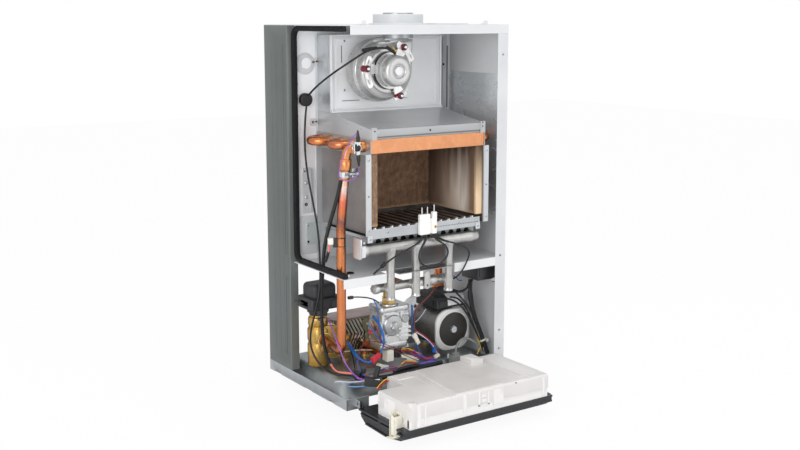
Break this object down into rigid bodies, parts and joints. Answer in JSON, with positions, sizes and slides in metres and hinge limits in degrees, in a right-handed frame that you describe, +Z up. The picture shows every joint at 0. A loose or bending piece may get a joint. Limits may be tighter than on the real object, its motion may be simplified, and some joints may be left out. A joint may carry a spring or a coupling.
{
  "type": "wall-hung gas boiler",
  "caption": "Room-sealed wall-hung gas boiler with its cover off: fan, copper heat exchanger, burner, gas valve, pump and a control box folded down on its hinge.",
  "frame": {"origin": "bottom middle of the rear face that lies on the wall", "axes": "+X to the right seen from the front, +Y back into the wall, +Z up"},
  "size_m": [0.4, 0.472, 0.782],
  "materials": {
    "white_paint": "satin",
    "grey_steel": "satin",
    "galvanised": "satin",
    "bright_steel": "satin",
    "black_foam": "matt",
    "red_rubber": "matt",
    "copper": "polished",
    "brass": "satin",
    "cast_aluminium": "satin",
    "burner_steel": "satin",
    "fibre_board": "matt",
    "ceramic": "matt",
    "coil_plastic": "matt",
    "black_plastic": "satin",
    "motor_grey": "satin",
    "white_plastic": "satin",
    "cream_plastic": "satin",
    "red_paint": "satin",
    "cable_black": "satin"
  },
  "bodies": {
    "casing": {"air_inlet_cover": "white_paint", "back_wall": "white_paint", "bottom_tray": "galvanised", "brass_block": "brass", "burner_bars": "burner_steel", "burner_frame": "galvanised", "chamber_floor": "white_paint", "chamber_seal": "black_foam", "chamber_shell": "bright_steel", "cover_hooks": "bright_steel", "diverter_actuator": "black_plastic", "electrode_block": "ceramic", "electrode_leads": "cable_black", "electrodes": "bright_steel", "expansion_vessel": "red_paint", "fan_bracket": "galvanised", "fan_grommets": "red_rubber", "fan_motor": "galvanised", "fan_plate": "galvanised", "fan_volute": "galvanised", "flow_pipe": "copper", "flue_collar": "white_paint", "flue_pipe": "bright_steel", "gas_coils": "coil_plastic", "gas_inlet_pipe": "bright_steel", "gas_manifold": "cast_aluminium", "gas_pipe": "brass", "gas_plate": "bright_steel", "gas_valve": "cast_aluminium", "hanging_rail": "galvanised", "hood": "galvanised", "hx_bends": "copper", "hx_core": "copper", "hx_jacket": "copper", "ignition_unit": "black_plastic", "insulation_back": "fibre_board", "insulation_left": "fibre_board", "insulation_right": "fibre_board", "left_wiring": "cable_black", "nozzle_plate": "galvanised", "pipe_tails": "brass", "plate_exchanger": "bright_steel", "pump_housing": "brass", "pump_motor": "motor_grey", "rear_box": "galvanised", "rear_column": "grey_steel", "return_pipe": "copper", "right_side_panel": "white_paint", "right_wiring": "cable_black", "terminal_box": "black_plastic", "top_panel": "white_paint"},
    "fan_rotor": {"fan_impeller": "bright_steel"},
    "pump_turning": {"pump_rotor": "bright_steel"},
    "vent_plug": {"vent_screw": "bright_steel"},
    "diverter": {"diverter_spindle": "bright_steel"},
    "control_box": {"control_fascia": "black_plastic", "control_cover": "white_plastic", "control_arms": "cream_plastic"},
    "heating_knob": {"knob_heating": "black_plastic"},
    "water_knob": {"knob_hot_water": "black_plastic"}
  },
  "joints": [
    {"name": "fan_spin", "type": "hinge", "parent": "casing", "child": "fan_rotor", "pos_m": [-0.04, -0.19, 0.636], "axis": [0, -1, 0], "continuous": true},
    {"name": "pump_spin", "type": "hinge", "parent": "casing", "child": "pump_turning", "pos_m": [0.113, -0.15, 0.091], "axis": [0, -1, 0], "continuous": true},
    {"name": "vent_turn", "type": "hinge", "parent": "casing", "child": "vent_plug", "pos_m": [0.113, -0.228, 0.091], "axis": [0, -1, 0], "range_deg": [-360, 0]},
    {"name": "diverter_lift", "type": "slide", "parent": "casing", "child": "diverter", "axis": [0, 0, 1], "range_m": [0, 0.008]},
    {"name": "control_box_fold", "type": "hinge", "parent": "casing", "child": "control_box", "pos_m": [0, -0.318, 0.012], "axis": [-1, 0, 0], "range_deg": [0, 90]},
    {"name": "heating_dial", "type": "hinge", "parent": "control_box", "child": "heating_knob", "pos_m": [0.04, -0.398, -0.02], "axis": [0, 0, -1], "range_deg": [-135, 135]},
    {"name": "hot_water_dial", "type": "hinge", "parent": "control_box", "child": "water_knob", "pos_m": [0.098, -0.398, -0.02], "axis": [0, 0, -1], "range_deg": [-135, 135]}
  ]
}
